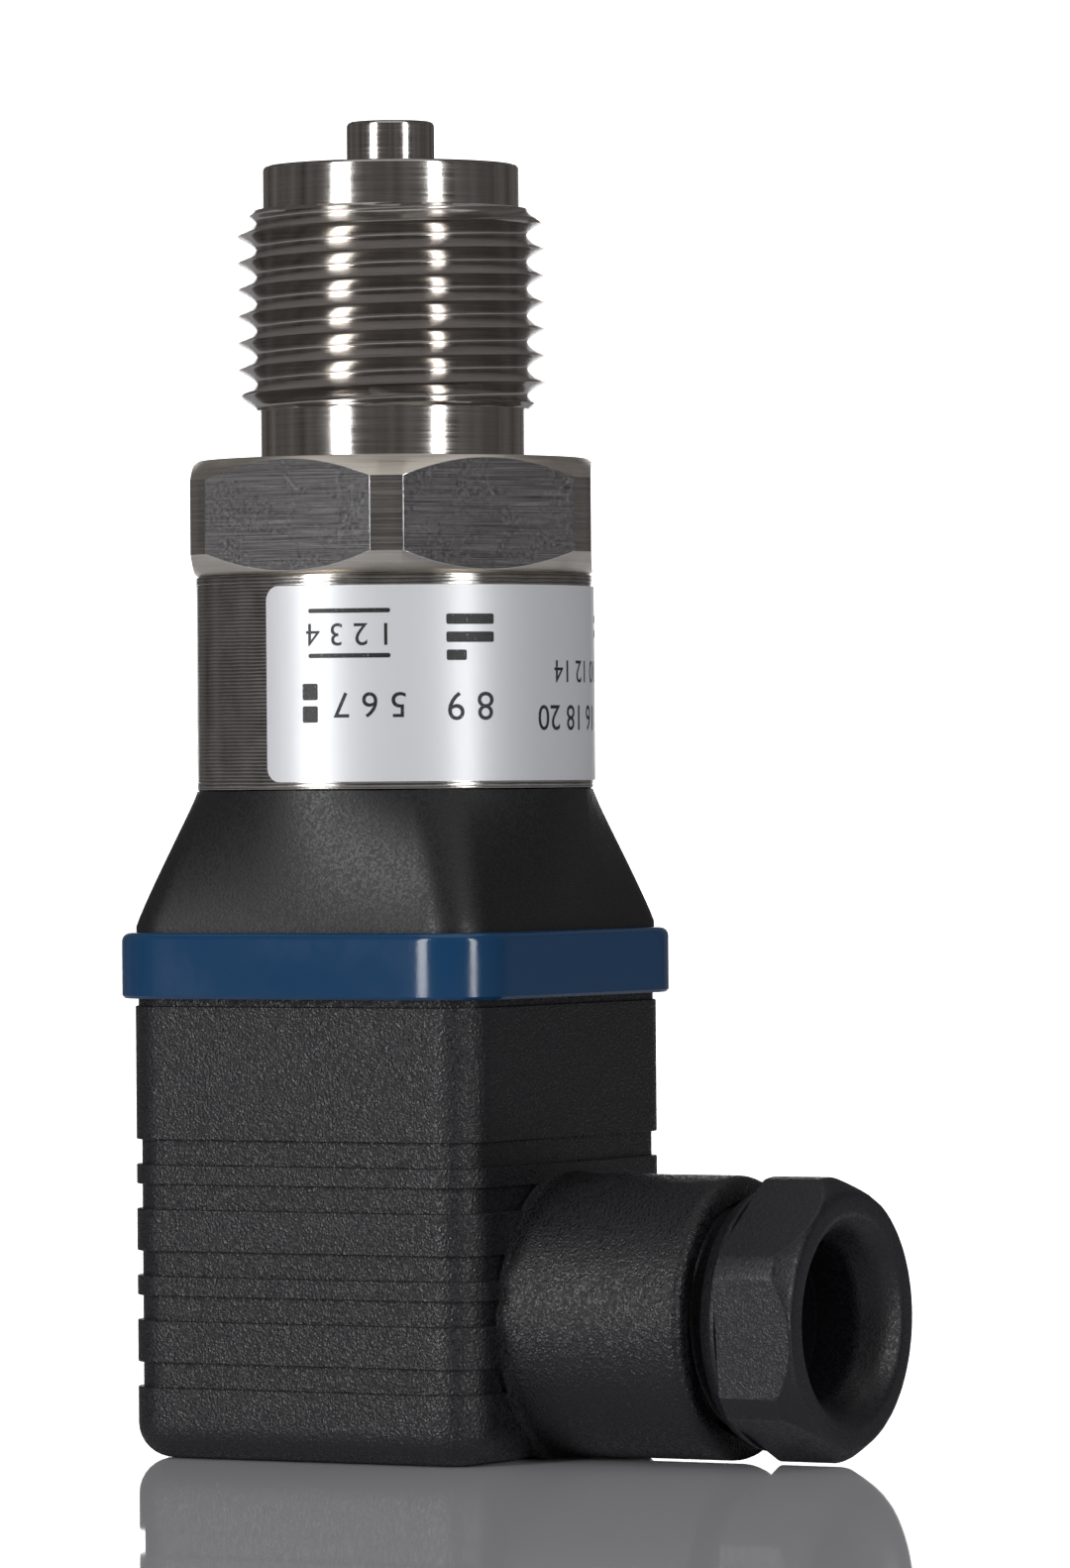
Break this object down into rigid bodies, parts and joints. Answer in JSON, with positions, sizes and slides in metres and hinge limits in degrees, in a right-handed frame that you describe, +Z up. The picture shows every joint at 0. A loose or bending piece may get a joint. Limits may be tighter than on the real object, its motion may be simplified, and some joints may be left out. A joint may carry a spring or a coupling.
{
  "type": "pressure transmitter",
  "caption": "Pressure transmitter with a threaded gauge connection and spanner hexagon on a steel tube, a blue profile gasket and a square angled cable socket with its gland.",
  "frame": {"origin": "on the instrument's axis, in the plane of the cable socket's flat back, on which it stands", "axes": "+Z up the instrument's axis to the pressure pin, +X out through the cable gland"},
  "size_m": [0.05, 0.0296, 0.0903],
  "materials": {
    "stainless_steel": "turned and milled, satin with bright edges",
    "capsule_steel": "fine turned",
    "label_film": "silver polyester film, printed grey",
    "seal_rubber": "moulded",
    "gland_rubber": "moulded",
    "gilt_pins": "gold flashed",
    "board_laminate": "solder-masked laminate",
    "black_epoxy": "moulded packages",
    "black_polyamide": "spark-eroded mould texture",
    "nut_polyamide": "smoother moulding with a fine grain",
    "carrier_polyamide": "smooth moulded",
    "blue_silicone": "glossy moulded silicone",
    "tinned_brass": "tin plated",
    "turned_brass": "turned and knurled",
    "zinc_plated_steel": "bright zinc plated"
  },
  "bodies": {
    "transmitter": {"process_port": "stainless_steel", "housing_tube": "stainless_steel", "rating_label": "label_film", "sensor_capsule": "capsule_steel", "sensor_o_ring": "seal_rubber", "sensor_retainer": "capsule_steel", "sensor_pins": "gilt_pins", "circuit_board": "board_laminate", "board_components": "black_epoxy", "plug_base": "black_polyamide", "base_o_ring": "seal_rubber", "insert_nut": "turned_brass", "contact_blade_1": "tinned_brass", "contact_blade_2": "tinned_brass", "contact_blade_3": "tinned_brass", "earth_blade": "tinned_brass", "profile_gasket": "blue_silicone"},
    "carrier": {"contact_carrier": "carrier_polyamide", "socket_contact_1": "tinned_brass", "socket_contact_2": "tinned_brass", "socket_contact_3": "tinned_brass", "earth_contact": "tinned_brass", "terminal_screws": "zinc_plated_steel"},
    "cable_socket": {"socket_housing": "black_polyamide", "gland_bush": "gland_rubber"},
    "gland_thrust": {"gland_washer": "zinc_plated_steel"},
    "gland_cap": {"gland_nut": "nut_polyamide"},
    "screw_thrust": {"screw_seal": "seal_rubber"},
    "socket_screw": {"fixing_screw": "zinc_plated_steel"}
  },
  "joints": [
    {"name": "socket_unplug", "type": "slide", "parent": "transmitter", "child": "carrier", "axis": [0, 0, -1], "range_m": [0, 0.03]},
    {"name": "housing_pull_off", "type": "slide", "parent": "carrier", "child": "cable_socket", "axis": [0, 0, -1], "range_m": [0, 0.03]},
    {"name": "gland_nut_feed", "type": "slide", "parent": "cable_socket", "child": "gland_thrust", "axis": [1, 0, 0], "range_m": [0, 0.00564]},
    {"name": "gland_nut_turn", "type": "hinge", "parent": "gland_thrust", "child": "gland_cap", "pos_m": [0.028, 0, 0.0096], "axis": [1, 0, 0], "range_deg": [0, 1445]},
    {"name": "fixing_screw_feed", "type": "slide", "parent": "cable_socket", "child": "screw_thrust", "axis": [0, 0, -1], "range_m": [0, 0.006]},
    {"name": "fixing_screw_turn", "type": "hinge", "parent": "screw_thrust", "child": "socket_screw", "pos_m": [0, 0, 0.002], "axis": [0, 0, -1], "range_deg": [0, 4330]}
  ],
  "couplings": [
    {"joint": "gland_nut_turn", "follows": "gland_nut_feed", "rad_per_m": 4456.2},
    {"joint": "fixing_screw_turn", "follows": "fixing_screw_feed", "rad_per_m": 12566}
  ]
}
